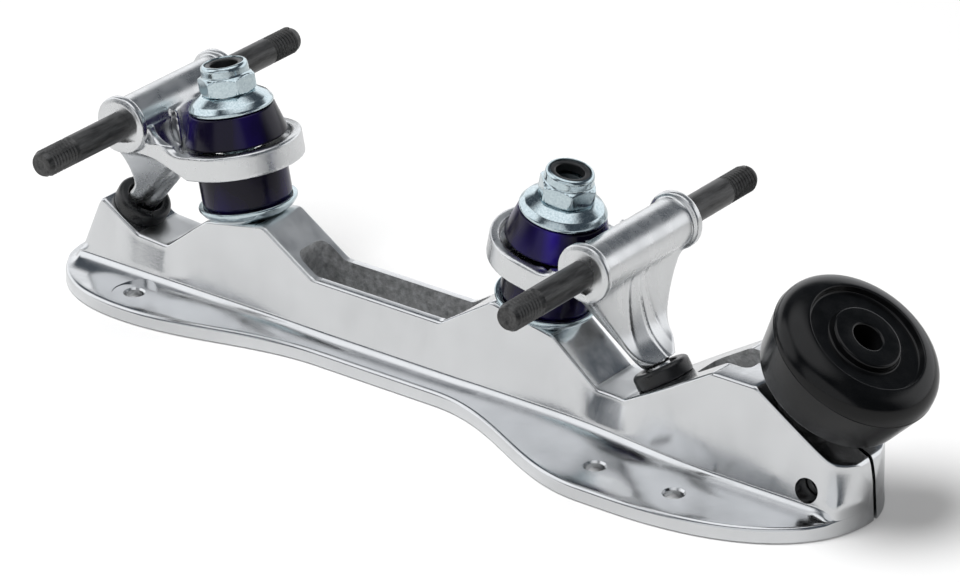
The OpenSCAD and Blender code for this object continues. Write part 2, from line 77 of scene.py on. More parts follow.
def roundedPath(points, closed=False, steps=6):  # points as (r, z, corner radius)
    out = []
    count = len(points)
    for i, (r, z, radius) in enumerate(points):
        p = np.array([r, z], float)
        if radius <= 0 or (not closed and i in (0, count - 1)):
            out.append(p)
            continue
        a = np.array(points[i - 1][:2], float) - p
        b = np.array(points[(i + 1) % count][:2], float) - p
        la, lb = norm(a), norm(b)
        a, b = a / la, b / lb
        half = acos(max(-1.0, min(1.0, float(a @ b)))) / 2
        if half < 0.02 or half > pi / 2 - 0.01:
            out.append(p)
            continue
        cut = min(radius / tan(half), 0.49 * la, 0.49 * lb)
        arc = cut * tan(half)
        mid = p + (a + b) / norm(a + b) * (arc / sin(half))
        t0 = atan2(*(p + a * cut - mid)[::-1])
        t1 = atan2(*(p + b * cut - mid)[::-1])
        turn = (t1 - t0 + pi) % (2 * pi) - pi
        for k in range(steps + 1):
            t = t0 + turn * k / steps
            out.append(mid + arc * np.array([cos(t), sin(t)]))
    return np.array(out)


def ringFaces(count, steps, closed):  # quads between one ring of points and the next
    faces = []
    for j in range(count if closed else count - 1):
        k = (j + 1) % count
        for i in range(steps):
            n = (i + 1) % steps
            faces.append((j * steps + i, j * steps + n, k * steps + n, k * steps + i))
    return faces


def lathe(path, closed=False, steps=96):  # outside goes up, so that faces point outwards
    path = np.asarray(path, float)
    t = np.arange(steps) * 2 * pi / steps
    verts = np.stack([np.outer(path[:, 0], np.cos(t)), np.outer(path[:, 0], np.sin(t)),
                      np.repeat(path[:, 1][:, None], steps, 1)], -1).reshape(-1, 3)
    return verts, ringFaces(len(path), steps, closed)


def polarRows(rows, steps=144, closed=True):  # rows of (z, radius at each angle)
    t = np.arange(steps) * 2 * pi / steps
    verts = []
    for z, radius in rows:
        r = radius(t) if callable(radius) else np.full(steps, radius)
        verts.append(np.stack([r * np.cos(t), r * np.sin(t), np.full(steps, z)], -1))
    return np.concatenate(verts), ringFaces(len(rows), steps, closed)


def hexRadius(flats, turn=0.0, limit=None):  # radius of a hexagon at an angle, with its corners cut by a cone
    def radius(t):
        a = (t - radians(turn) + pi / 6) % (pi / 3) - pi / 6
        r = flats / 2 / np.cos((np.abs(a) - pi / 6))
        return r if limit is None else np.minimum(r, limit)
    return radius


def joined(*parts):
    verts, faces, base = [], [], 0
    for v, f in parts:
        verts.append(np.asarray(v, float))
        faces += [tuple(i + base for i in face) for face in f]
        base += len(v)
    return np.concatenate(verts), faces


def newMesh(name, verts, faces, rear=False):
    co = np.array(verts, float)
    if rear:
        co[:, 0] *= -1
        faces = [tuple(reversed(f)) for f in faces]
    mesh = bpy.data.meshes.new(name)
    mesh.from_pydata((co * mm).tolist(), [], faces)
    work = bmesh.new()
    work.from_mesh(mesh)
    bmesh.ops.remove_doubles(work, verts=work.verts, dist=1e-7)
    bmesh.ops.dissolve_degenerate(work, edges=work.edges, dist=1e-8)
    work.to_mesh(mesh)
    work.free()
    return mesh


def newObject(name, mesh):
    piece = bpy.data.objects.new(name, mesh)
    bpy.context.scene.collection.objects.link(piece)
    return piece


def finishPiece(piece, material, body, nodes=(), sharp=35):
    mesh = piece.data
    if not mesh.materials:
        mesh.materials.append(material)
    mesh.polygons.foreach_set("use_smooth", [True] * len(mesh.polygons))
    mesh.set_sharp_from_angle(angle=radians(sharp))
    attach(piece, body)
    if nodes:
        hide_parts(*nodes)
    return piece


def makePiece(name, shape, material, body, nodes=(), rear=False, sharp=35):
    piece = newObject(name, newMesh(name, shape[0], shape[1], rear))
    return finishPiece(piece, material, body, nodes, sharp)


def evaluatedMesh(piece):  # bakes the modifiers into a plain mesh
    depsgraph = bpy.context.evaluated_depsgraph_get()
    return bpy.data.meshes.new_from_object(piece.evaluated_get(depsgraph))


# materials

def newMaterial(name):
    material = bpy.data.materials.new(name)
    material.use_nodes = True
    tree = material.node_tree
    return material, tree, tree.nodes["Principled BSDF"]


def setInputs(node, values):
    for name, value in values.items():
        node.inputs[name].default_value = value


def addNoise(tree, scale, detail=3.0, rough=0.5, stretch=None):
    coord = tree.nodes.new("ShaderNodeTexCoord")
    noise = tree.nodes.new("ShaderNodeTexNoise")
    setInputs(noise, {"Scale": scale, "Detail": detail, "Roughness": rough})
    if stretch:
        mapping = tree.nodes.new("ShaderNodeMapping")
        mapping.inputs["Scale"].default_value = stretch
        tree.links.new(coord.outputs["Object"], mapping.inputs["Vector"])
        tree.links.new(mapping.outputs["Vector"], noise.inputs["Vector"])
    else:
        tree.links.new(coord.outputs["Object"], noise.inputs["Vector"])
    return noise.outputs["Fac"]


def addRamp(tree, source, stops):  # stops as (position, colour)
    ramp = tree.nodes.new("ShaderNodeValToRGB")
    items = ramp.color_ramp.elements
    items[0].position, items[1].position = stops[0][0], stops[-1][0]
    items[0].color, items[1].color = (*stops[0][1], 1), (*stops[-1][1], 1)
    for position, colour in stops[1:-1]:
        items.new(position).color = (*colour, 1)
    tree.links.new(source, ramp.inputs["Fac"])
    return ramp.outputs["Color"]


def addRange(tree, source, low, high, fromLow=0.3, fromHigh=0.7):
    node = tree.nodes.new("ShaderNodeMapRange")
    setInputs(node, {"From Min": fromLow, "From Max": fromHigh, "To Min": low, "To Max": high})
    tree.links.new(source, node.inputs["Value"])
    return node.outputs["Result"]


def addColour(tree, shader, source, stops):
    tree.links.new(addRamp(tree, source, stops), shader.inputs["Base Color"])


def addGloss(tree, shader, source, rough):
    tree.links.new(addRange(tree, source, *rough), shader.inputs["Roughness"])


def addBump(tree, shader, source, strength, distance, under=None):
    bump = tree.nodes.new("ShaderNodeBump")
    setInputs(bump, {"Strength": strength, "Distance": distance})
    tree.links.new(source, bump.inputs["Height"])
    if under:
        tree.links.new(under, bump.inputs["Normal"])
    tree.links.new(bump.outputs["Normal"], shader.inputs["Normal"])
    return bump.outputs["Normal"]


def polishedCasting(name, tone, rough):  # bright casting with a slightly uneven polish
    material, tree, shader = newMaterial(name)
    setInputs(shader, {"Metallic": 1.0, "IOR": 1.5})
    cloud = addNoise(tree, 70, 4)
    stops = [(0.3, tuple(0.93 * c for c in tone)), (0.7, tone)]
    addColour(tree, shader, cloud, stops)
    streak = addNoise(tree, 160, 5, 0.6, (1.0, 1.0, 0.35))
    addGloss(tree, shader, streak, rough)
    wave = addBump(tree, shader, addNoise(tree, 45, 2), 0.10, 0.002)
    addBump(tree, shader, addNoise(tree, 1400, 3), 0.05, 0.0002, wave)
    return material


castingFinish = {  # tone, range of roughness
    "plate": ((0.68, 0.69, 0.70), (0.13, 0.25)),
    "skin": ((0.70, 0.71, 0.715), (0.30, 0.46)),
    "truck": ((0.69, 0.70, 0.705), (0.21, 0.34)),
}
plateMetal = polishedCasting("polishedPlate", *castingFinish["plate"])
skinMetal = polishedCasting("castSkin", *castingFinish["skin"])
truckMetal = polishedCasting("polishedTruck", *castingFinish["truck"])


def asCastMetal():  # rough skin in the pockets
    material, tree, shader = newMaterial("asCastPocket")
    shader.inputs["Metallic"].default_value = 0.6
    blotch = addNoise(tree, 420, 6, 0.65)
    stops = [(0.3, (0.27, 0.275, 0.28)), (0.5, (0.50, 0.505, 0.51)), (0.72, (0.76, 0.77, 0.78))]
    addColour(tree, shader, blotch, stops)
    shader.inputs["Roughness"].default_value = 0.46
    addBump(tree, shader, addNoise(tree, 900, 5, 0.6), 0.5, 0.0006)
    return material


def zincPlate():  # bright bluish zinc with a fine spangle
    material, tree, shader = newMaterial("brightZinc")
    shader.inputs["Metallic"].default_value = 1.0
    spangle = addNoise(tree, 1700, 4, 0.6)
    stops = [(0.3, (0.41, 0.50, 0.54)), (0.7, (0.61, 0.70, 0.725))]
    addColour(tree, shader, spangle, stops)
    addGloss(tree, shader, spangle, (0.09, 0.19))
    addBump(tree, shader, spangle, 0.08, 0.0002)
    return material


def blackOxide(name, tone):
    material, tree, shader = newMaterial(name)
    shader.inputs["Metallic"].default_value = 0.75
    skin = addNoise(tree, 900, 5, 0.6, (1.0, 0.15, 1.0))
    stops = [(0.3, (tone[0],) * 3), (0.75, (tone[1],) * 3)]
    addColour(tree, shader, skin, stops)
    addGloss(tree, shader, skin, (0.30, 0.46))
    addBump(tree, shader, addNoise(tree, 2600, 3), 0.12, 0.0002)
    return material


def indigoUrethanePaintedGlow():  # dark indigo cushion with a painted violet glow: light scattered deep inside is painted into its colour as noise patches
    material, tree, shader = newMaterial("indigoUrethanePaintedGlow")
    paintedGlow = addNoise(tree, 75, 1.5, 0.4, (1.0, 1.0, 0.35))
    # the darker stops are the cushion's own indigo; the last, bright violet stop is painted glow
    stops = [(0.42, (0.003, 0.0015, 0.012)), (0.58, (0.010, 0.004, 0.075)), (0.72, (0.03, 0.010, 0.34))]
    addColour(tree, shader, paintedGlow, stops)
    setInputs(shader, {"Roughness": 0.20, "Specular IOR Level": 0.26})
    addBump(tree, shader, addNoise(tree, 240, 2), 0.05, 0.0006)
    return material


def blackRubber(name, rough, grain, gloss=0.5, tone=1.0):
    material, tree, shader = newMaterial(name)
    shader.inputs["Specular IOR Level"].default_value = gloss
    dust = addNoise(tree, 220, 5, 0.6)
    shades = (0.3, (0.006, 0.0065, 0.007)), (0.75, (0.014, 0.0145, 0.016))
    stops = [(position, tuple(tone * c for c in colour)) for position, colour in shades]
    addColour(tree, shader, dust, stops)
    addGloss(tree, shader, dust, rough)
    addBump(tree, shader, addNoise(tree, 3200, 2), grain, 0.0002)
    return material


pocketMetal = asCastMetal()
zincMetal = zincPlate()
axleMetal = blackOxide("blackOxide", (0.035, 0.11))
# near-black stem tone, darker than the axles: the stem's own dark steel plus painted shade for the gap under
# the toe stop
stemMetal = blackOxide("darkSteelAndGapShade", (0.010, 0.03))
urethane = indigoUrethanePaintedGlow()
stopRubber = blackRubber("stopRubber", (0.13, 0.21), 0.06, 0.25, 0.35)
cupRubber = blackRubber("cupRubber", (0.22, 0.36), 0.14, 0.4)
nylon = blackRubber("blackNylon", (0.30, 0.42), 0.05)
print("stage: materials made")


# plate: cross-sections along X, skinned, then cut

plateSizes = {
    "noseEnd": 160.1, "heelEnd": -112.0, "ballW": 39.1, "waistW": 17.9, "heelW": 28.7,
    "heelX": -76.0, "waistRear": -14.0, "waistFront": 27.0, "ballRear": 91.0, "ballFront": 99.0,
    "flangeT": 4.5, "flangeEdge": 1.3, "soleEdge": 0.5,
    "hullHalf": 9.0, "noseHalf": 13.2, "flareX": 78.0, "flareRun": 29.0,
    "footRun": 7.0, "footH": 3.2, "baseHalf": (11.2, 15.2), "baseX": 62.0, "baseRun": 58.0,
    "rimR": 0.95, "noseLean": 0.065, "cornerSoft": 1.5,
    "bossX": (40.0, 60.4), "bossReach": (11.3, 9.1), "deckH": 20.9, "deckSlope": 0.65,
    "valleyH": 16.3, "valleySlope": 0.8, "noseH": 35.2, "rearSeat": (25.0, 17.0),
    "heelFoot": (-111.85, -108.0), "noseFoot": 159.95,
    "noseR": 19.0, "noseMid": 139.9, "noseRim": (158.6, 17.56), "noseKnee": (153.2, 19.99),
    "power": {1: 1.7, -1: 2.3}, "heelPower": 2.25,  # far side, near side
    "step": 1.3,
}


def seatX(h):
    return layout["pivotX"] + (h - layout["pivotH"]) / tan(radians(layout["pivotTilt"]))


def noseSlopeX(h):
    return layout["toeX"] + (layout["toeH"] - h) / tan(radians(layout["toeTilt"]))


def topLine():  # corners of the hull seen from the side, heel to nose
    s = Sizes(plateSizes)
    rise = tan(radians(layout["kingpinTilt"]))
    (inX, outX), (inRun, outRun) = s.bossX, s.bossReach
    inH, outH = layout["bossH"] + inRun * rise, layout["bossH"] - outRun * rise
    deck, valley, nose = s.deckH, s.valleyH, s.noseH
    deckX = inX - (inH - deck) / s.deckSlope
    valleyX = outX + (outH - valley) / s.valleySlope
    return [
        *((x, s.flangeT) for x in s.heelFoot), *((-seatX(h), h) for h in s.rearSeat),
        (-valleyX, valley), (-outX, outH), (-inX, inH), (-deckX, deck),
        (deckX, deck), (inX, inH), (outX, outH), (valleyX, valley),
        (seatX(valley), valley), (seatX(nose), nose), (noseSlopeX(nose), nose),
        s.noseKnee, s.noseRim, (s.noseFoot, s.flangeT),
    ]


hullProfile = topLine()


def easedStep(a, b, t):
    return a + (b - a) * (1 - np.cos(np.pi * np.clip(t, 0, 1))) / 2


def endCap(h, t, power):
    return h * np.power(np.maximum(0, 1 - np.power(np.clip(t, 0, 1), power)), 1 / power)


def flangeHalf(x, side):
    s = Sizes(plateSizes)
    if x < s.heelX:
        return float(endCap(s.heelW, (s.heelX - x) / (s.heelX - s.heelEnd), s.heelPower))
    if x < s.waistRear:
        return float(easedStep(s.heelW, s.waistW, (x - s.heelX) / (s.waistRear - s.heelX)))
    if x < s.ballFront:
        run = s.ballRear - s.waistFront
        return float(easedStep(s.waistW, s.ballW, (x - s.waistFront) / run))
    return float(endCap(s.ballW, (x - s.ballFront) / (s.noseEnd - s.ballFront), s.power[side]))


def softProfile():  # corners of the side profile rounded by two short averages
    step = 0.05
    x = np.arange(-116, 164, step)
    z = np.interp(x, *zip(*hullProfile))
    width = int(plateSizes["cornerSoft"] / step)
    for _ in range(2):
        z = np.convolve(np.pad(z, width, mode="edge"), np.ones(width) / width, "same")[width:-width]
    return x, z


profileX, profileZ = softProfile()


def hullTop(x):
    s = Sizes(plateSizes)
    return min(float(np.interp(x, profileX, profileZ)), (s.noseEnd - 0.06 - x) / s.noseLean)


def noseOutline(x, z, side):  # sole outline at the flange, round clamp at the rim
    s = Sizes(plateSizes)
    t = min(1.0, max(0.0, (z - s.flangeT) / (s.noseRim[1] - s.flangeT)))
    shift = x + s.noseLean * z
    run = max(0.0, shift - s.noseLean * s.noseRim[1] - s.noseMid)
    clamp = sqrt(max(0.0, s.noseR ** 2 - run * run))
    return max(0.05, (1 - t) * flangeHalf(shift, side) + t * clamp)


def blockHalf(x, z, side):  # widens towards the nose, sooner at the foot than at the top
    s = Sizes(plateSizes)
    if z <= s.flangeT:
        half = float(easedStep(*s.baseHalf, (x - s.baseX) / s.baseRun))
    else:
        half = float(easedStep(s.hullHalf, s.noseHalf, (x - s.flareX) / s.flareRun))
    if x < s.ballFront:
        return half
    return (half ** -10 + noseOutline(x, z, side) ** -10) ** -0.1


def quarterArc(steps):
    return [pi / 2 * k / steps for k in range(steps + 1)]


def halfSection(x, side):
    s = Sizes(plateSizes)
    top = hullTop(x)
    flange = min(s.flangeT, top)
    rise = max(0.0, top - flange)
    base = max(0.06, flangeHalf(x, side))
    out = max(0.06, flangeHalf(x + (s.noseLean * flange if x > s.ballFront else 0), side))
    wall = max(0.05, min(blockHalf(x, flange, side), out - 0.1))
    edge = max(0.005, min(s.flangeEdge, flange / 2, (out - wall) / 2))
    sole = min(s.soleEdge, flange / 4, base / 2)
    foot, footRun = min(s.footH, 0.6 * rise), max(0.0, min(s.footRun, out - edge - wall))
    rim = min(s.rimR, 0.3 * rise)
    crown = max(0.05, min(blockHalf(x, top, side), wall))
    pts = [((base - sole) * k / 4, 0.0) for k in range(1, 5)]
    pts += [(base - sole + sole * sin(a), sole * (1 - cos(a))) for a in quarterArc(3)[1:]]
    pts += [(out - edge * (1 - cos(a)), flange - edge + edge * sin(a)) for a in quarterArc(6)]
    start, stop = out - edge, wall + footRun
    pts += [(start + (stop - start) * k / 6, flange) for k in range(1, 6)]
    pts += [(wall + footRun * (1 - sin(a)), flange + foot * (1 - cos(a))) for a in quarterArc(12)]
    low, high = flange + foot, top - rim
    pts += [(wall + (crown - wall) * k / 7, low + (high - low) * k / 7) for k in range(1, 7)]
    rimIn = min(max(rim, 0.02), 0.8 * crown)
    pts += [(crown - rimIn * (1 - cos(a)), high + rim * sin(a)) for a in quarterArc(5)]
    pts += [((crown - rimIn) * k / 3, top) for k in (2, 1)]
    return pts


def plateStations():
    s = Sizes(plateSizes)
    xs = list(np.arange(-110, 157, s.step))
    for corner, _ in hullProfile[1:-1]:
        xs += list(np.arange(corner - 2.1, corner + 2.11, 0.35))
    xs += [s.heelEnd + 0.004 + 3 * t * t for t in np.linspace(0, 1, 14)]
    xs += [s.noseEnd - 0.08 - 5 * t * t for t in np.linspace(0, 1, 26)]
    xs = sorted(x for x in xs if s.heelEnd < x < s.noseEnd - 0.07)
    kept = [xs[0]]
    for x in xs[1:]:
        if x - kept[-1] > (0.004 if x < s.heelEnd + 0.4 or x > s.noseEnd - 0.6 else 0.12):
            kept.append(x)
    return kept


def plateSkin():
    rings = []
    for x in plateStations():
        far, near = halfSection(x, 1), halfSection(x, -1)
        rings.append([(x, 0.0, 0.0)] + [(x, y, z) for y, z in far] + [(x, 0.0, far[-1][1])]
                     + [(x, -y, z) for y, z in reversed(near)])
    count = len(rings[0])
    faces = []
    for i in range(len(rings) - 1):
        for k in range(count):
            a, b = i * count + k, i * count + (k + 1) % count
            faces.append((a, a + count, b + count, b)[::-1])
    faces.append(tuple(range(count))[::-1])
    last = (len(rings) - 1) * count
    faces.append(tuple(range(last, last + count)))
    return np.array([p for r in rings for p in r]), faces


def prism(outline, z0, z1):  # outline counter-clockwise in XY
    n = len(outline)
    verts = [(x, y, z0) for x, y in outline] + [(x, y, z1) for x, y in outline]
    faces = [tuple(range(n))[::-1], tuple(range(n, 2 * n))]
    faces += [(i, (i + 1) % n, n + (i + 1) % n, n + i) for i in range(n)]
    return np.array(verts, float), faces


def roundBox(x0, x1, half, corner, steps=8):
    out = []
    for cx, cy, t0 in ((x1 - corner, half - corner, 0), (x0 + corner, half - corner, 90),
                       (x0 + corner, corner - half, 180), (x1 - corner, corner - half, 270)):
        for k in range(steps + 1):
            t = radians(t0 + 90 * k / steps)
            out.append((cx + corner * cos(t), cy + corner * sin(t)))
    return out


def pocketCutter(x0, x1, half, floor, corner, floorR=1.8, top=60):  # rounded floor, straight walls
    rings = [(floor + floorR * (1 - cos(a)), floorR * (1 - sin(a))) for a in quarterArc(5)]
    loops = []
    for z, inset in rings + [(top, 0.0)]:
        outline = roundBox(x0 + inset, x1 - inset, half - inset, corner - inset * 0.6)
        loops.append([(x, y, z) for x, y in outline])
    n = len(loops[0])
    faces = [tuple(range(n))[::-1], tuple(range((len(loops) - 1) * n, len(loops) * n))]
    faces += ringFaces(len(loops), n, False)
    return np.array([p for loop in loops for p in loop]), faces


def rod(r, z0, z1, steps=64, flare=None):  # closed cylinder, with a cone at the top when flare is (z, radius)
    top = [(r, flare[0] - (flare[1] - r)), (flare[1], flare[0]), (flare[1], z1)] if flare else [(r, z1)]
    return lathe([(0, z0), (r, z0)] + top + [(0, z1)], steps=steps)


def mirroredShape(shape):
    verts = np.array(shape[0])
    verts[:, 0] *= -1
    return verts, [tuple(reversed(f)) for f in shape[1]]


def movedShape(shape, place):
    return placed(shape[0], place), shape[1]


def at(x, y, z):
    return np.array(Matrix.Translation((x, y, z)))


def hexPrism(flats, z0, z1, turn=0.0):
    r, turns = flats / sqrt(3), [radians(60 * k + turn) for k in range(6)]
    return prism([(r * cos(t), r * sin(t)) for t in turns], z0, z1)


cutSizes = {
    "middle": (-30.2, 30.2, 6.35, 4.5, 3.2),  # from x, to x, half width, floor, corner
    "front": (105, 122.6, 5.5, 20.2, 2.6),
    "pinHole": (4.9, -50, 30), "headRecess": (14.6, -45, -21.9), "cupSeat": (6.4, -7, 20),  # width, from, to
    "stemBore": (8.05, -60, 40), "clampHead": (3.5, 5.7, 30), "clampShank": (2.15, -10.2, 8),
    "slit": (117.5, 170, 0.7), "slitZ": (-5, 60),
    "hole": (2.7, -3, 9), "spot": (6.5, 4.3, 12), "ballFlare": (4.5, 3.25), "heelFlare": (4.3, 3.2),
    "ballX": (101, 12.85), "ballY": 26.75, "heelX": -79, "heelY": 19,
}


def plateCutters():
    s = Sizes(cutSizes)
    cuts = [pocketCutter(*s.middle), pocketCutter(*s.front)]
    ends = [movedShape(rod(*s.pinHole), kingpinFrame), movedShape(hexPrism(*s.headRecess), kingpinFrame),
            movedShape(rod(*s.cupSeat), pivotFrame)]
    cuts += ends + [mirroredShape(shape) for shape in ends]
    cuts.append(movedShape(rod(*s.stemBore), toeFrame))
    x0, x1, half = s.slit
    cuts.append(prism([(x0, -half), (x1, -half), (x1, half), (x0, half)], *s.slitZ))
    pinch = at(layout["clampX"], 0, layout["clampH"]) @ acrossFrame
    cuts += [movedShape(rod(*size), pinch) for size in (s.clampHead, s.clampShank)]
    middle, reach = s.ballX
    for x in (middle - reach, middle + reach):
        for y in (-s.ballY, s.ballY):
            cuts.append(movedShape(rod(*s.hole, flare=s.ballFlare), at(x, y, 0)))
    for y in (-s.heelY, s.heelY):
        cuts.append(movedShape(rod(*s.hole, flare=s.heelFlare), at(s.heelX, y, 0)))
        cuts.append(movedShape(rod(*s.spot), at(s.heelX, y, 0)))
    return cuts


def faceFinish(x, y, z, lift):  # 1 in the two pockets, 2 on the cast skin round the bosses, else 0
    upright = abs(lift) < 0.3
    inMiddle = abs(x) < 30.3 and abs(y) < 6.4 and z > 4.3 and (upright or z < 7)
    inFront = 104.8 < x < 122.8 and abs(y) < 5.6 and z > 20 and (upright or z < 22)
    inValley = 60 < abs(x) < 86 and lift > 0.85
    onSlope = (-43 < x < -20 or inValley) and abs(y) < 14 and z > 15 and lift > 0.4
    return 1 if inMiddle or inFront else 2 if onSlope else 0


def makePlate():
    piece = newObject("plateCasting", newMesh("plateCasting", *plateSkin()))
    cutters = []
    for i, shape in enumerate(plateCutters()):
        cutter = newObject(f"cutter{i}", newMesh(f"cutter{i}", *shape))
        modifier = piece.modifiers.new(f"cut{i}", "BOOLEAN")
        modifier.operation, modifier.solver, modifier.object = "DIFFERENCE", "MANIFOLD", cutter
        cutters.append(cutter)
    mesh = evaluatedMesh(piece)
    piece.modifiers.clear()
    for cutter in cutters:
        bpy.data.objects.remove(cutter)
    piece.data = mesh
    mesh.materials.clear()
    for material in (plateMetal, pocketMetal, skinMetal):
        mesh.materials.append(material)
    for p in mesh.polygons:
        p.material_index = faceFinish(*(c / mm for c in p.center), p.normal.z)
    finishPiece(piece, plateMetal, "plate", ["plate"], sharp=32)
    print("stage: plate made,", len(mesh.polygons), "faces")


makePlate()


# trucks: distance field of the casting with soft joins, then a surface net

truckSizes = {
    "voxel": 0.42, "box": ((33.5, -24, 15), (98, 24, 68)),
    "ringOut": 18.4, "ringIn": 15.6, "ringH": 7.2, "webT": 2.8, "webHole": 7.95,
    "yokeEnd": 24, "yokeTop": 11.5, "chinLow": 3.5, "chinU": 5, "chinSlope": 0.5425, "chinSteep": 1.1377,
    "barrelR": 6.75, "barrelHalf": 22.0, "collarR": 8.3, "collarT": 2.5, "scoopR": 10.9,
    "wellR": 5.5, "ribHalf": 8.6, "blockU": 18, "blockHalf": 6.4, "blockTop": 13.62, "join": 1.6,
    "ballR": 4.3, "ballT": 0.8, "pinEnd": 18, "pinShift": (3, 0, 1.8), "pinR": (3.9, 2.5),
    "seatT": 5.4, "ankleR": 5.9, "ankleSteep": 1.41, "armCap": 52,
    "armTop": (80.4, 18.6, 46.5), "armRoot": (72.07, 11.4, 42.6), "armFoot": (88.6, 6.6, 25.3),
    "panel": (82.4, -0.05, 0.0118, 0.0040), "panelTop": 51.0, "ridge": (0.06, 3.0, 0.16), "crease": (0.45, 0.5),
}


def softMin(a, b, k):
    h = np.clip(0.5 + 0.5 * (b - a) / k, 0, 1)
    return b + (a - b) * h - k * h * (1 - h)


def softMax(a, b, k):
    return -softMin(-a, -b, k)


def rodField(p, start, end, r, soft=0.0):  # capped cylinder
    start, end = np.asarray(start, float), np.asarray(end, float)
    axis = (end - start) / norm(end - start)
    along = (p - start) @ axis
    out = norm(p - start - along[:, None] * axis, axis=1) - r
    cap = np.maximum(-along, along - norm(end - start))
    return softMax(out, cap, soft) if soft else np.maximum(out, cap)


def coneField(p, a, b, ra, rb):  # round cone
    a, b = np.asarray(a, float), np.asarray(b, float)
    span = b - a
    t = np.clip(((p - a) @ span) / (span @ span), 0, 1)
    return norm(p - a - t[:, None] * span, axis=1) - (ra + (rb - ra) * t)


def pivotPoint(t):
    return pivotFrame[:3, :3] @ np.array([0, 0, t]) + pivotFrame[:3, 3]


def truckField(p):
    s = Sizes(truckSizes)
    y = np.abs(p[:, 1])
    q = (p - kingpinFrame[:3, 3]) @ kingpinFrame[:3, :3]  # ring frame
    u, v = q[:, 0], q[:, 2] - layout["ringZ"]
    axle = np.array([layout["axleX"], 0, layout["axleH"]])
    radial = np.hypot(u, p[:, 1])
    # yoke: D-shaped plan, flat over the ring and hollow up to the barrel
    plan = np.where(u < 0, radial - s.ringOut, np.maximum(y - s.ringOut, u - s.yokeEnd))
    chin = (-(v + s.chinLow) + s.chinSlope * (u - s.chinU)) / s.chinSteep
    lower = np.maximum(-(v + s.ringH / 2), chin)
    cu, cv = s.ringOut - 2.5 - s.scoopR, s.ringH / 2 + s.scoopR
    arc = np.hypot(u - cu, v - cv) - s.scoopR
    open1 = np.maximum(u - cu, s.ringH / 2 - v)
    open2 = np.maximum(u - cu - s.scoopR, cv - v)
    scoop = np.minimum(np.minimum(arc, open1), open2)
    yoke = softMax(softMax(plan, lower, 0.8), -scoop, 0.9)
    yoke = np.maximum(yoke, v - s.yokeTop)
    bore = np.maximum(radial - s.ringIn, s.webT / 2 - v)
    under = np.maximum(radial - s.ringIn, v + s.webT / 2)
    wellU, wellV = s.ringOut - 2 - s.wellR, s.webT / 2 + 1 + s.wellR
    well = np.maximum(np.hypot(u - wellU, v - wellV) - s.wellR,
                      np.abs(y - (s.ribHalf + s.ringIn) / 2) - (s.ringIn - s.ribHalf) / 2)
    barrel = rodField(p, axle - (0, s.barrelHalf, 0), axle + (0, s.barrelHalf, 0), s.barrelR)
    block = np.maximum(np.abs(u - s.blockU) - s.blockHalf, y - s.ribHalf)
    block = np.maximum(block, np.maximum(-v, v - s.blockTop))
    # arm: keel with flat sides and a hollow front, a ridge down its middle, and the pin
    top, root, foot = (np.array(point) for point in (s.armTop, s.armRoot, s.armFoot))
    side = np.cross(root - top, foot - top)
    side *= np.sign(side[1]) / norm(side)
    fold = np.stack([p[:, 0], y, p[:, 2]], -1)
    slope = (root - foot) * (1, 0, 1) / np.hypot(root[0] - foot[0], root[2] - foot[2])
    back = np.array([-slope[2], 0, slope[0]])
    drop = np.maximum(0, s.panelTop - p[:, 2])
    wide = s.ridge[1] + s.ridge[2] * drop
    tent = np.maximum(0, 1 - np.hypot(y, 0.25) / wide)
    crease = np.exp(-((p[:, 1] - 0.8) / s.crease[1]) ** 2) * np.clip((drop - 2) / 8, 0, 1)
    crease += 0.5 * np.exp(-((y - wide) / s.crease[1]) ** 2) * np.clip((20 - drop) / 4, 0, 1)
    toe = np.clip(drop - 14, 0, 13)
    flat = s.panel[0] + s.panel[1] * drop + s.panel[2] * drop ** 2 + s.panel[3] * toe ** 3
    steep = np.sqrt(1 + (s.panel[1] + 2 * s.panel[2] * drop + 3 * s.panel[3] * toe ** 2) ** 2)
    front = (p[:, 0] - flat - s.ridge[0] * drop * tent + s.crease[0] * crease) / steep
    keel = softMax(softMax((fold - top) @ side, (p - root) @ back - 1.2, 1.4), front, 1.2)
    above = p - pivotPoint(s.seatT)
    lift = above @ pivotFrame[:3, 2]
    ankle = norm(above - lift[:, None] * pivotFrame[:3, 2], axis=1) - s.ankleR - lift
    arm = np.maximum(softMax(keel, ankle / s.ankleSteep, 1.5), -lift)
    arm = np.maximum(arm, p[:, 2] - s.armCap)
    middle = pivotPoint(s.ballT)
    pin = coneField(p, middle, pivotPoint(s.pinEnd) - s.pinShift, *s.pinR)
    ball = norm(p - middle, axis=1) - s.ballR
    body = softMin(softMin(softMin(yoke, block, 1.2), barrel, s.join), arm, 3.6)
    body = softMax(body, -bore, 0.7)
    body = softMax(body, -under, 0.7)
    body = softMax(body, -well, 1.2)
    body = softMin(body, barrel, 0.5)
    collar = rodField(fold, axle + (0, s.barrelHalf - s.collarT, 0),
                      axle + (0, s.barrelHalf, 0), s.collarR, 0.7)
    body = softMin(body, collar, 0.9)
    body = softMin(body, softMin(pin, ball, 0.3), 1.0)
    return np.maximum(body, s.webHole - np.where(np.abs(v) < 6, radial, 99))


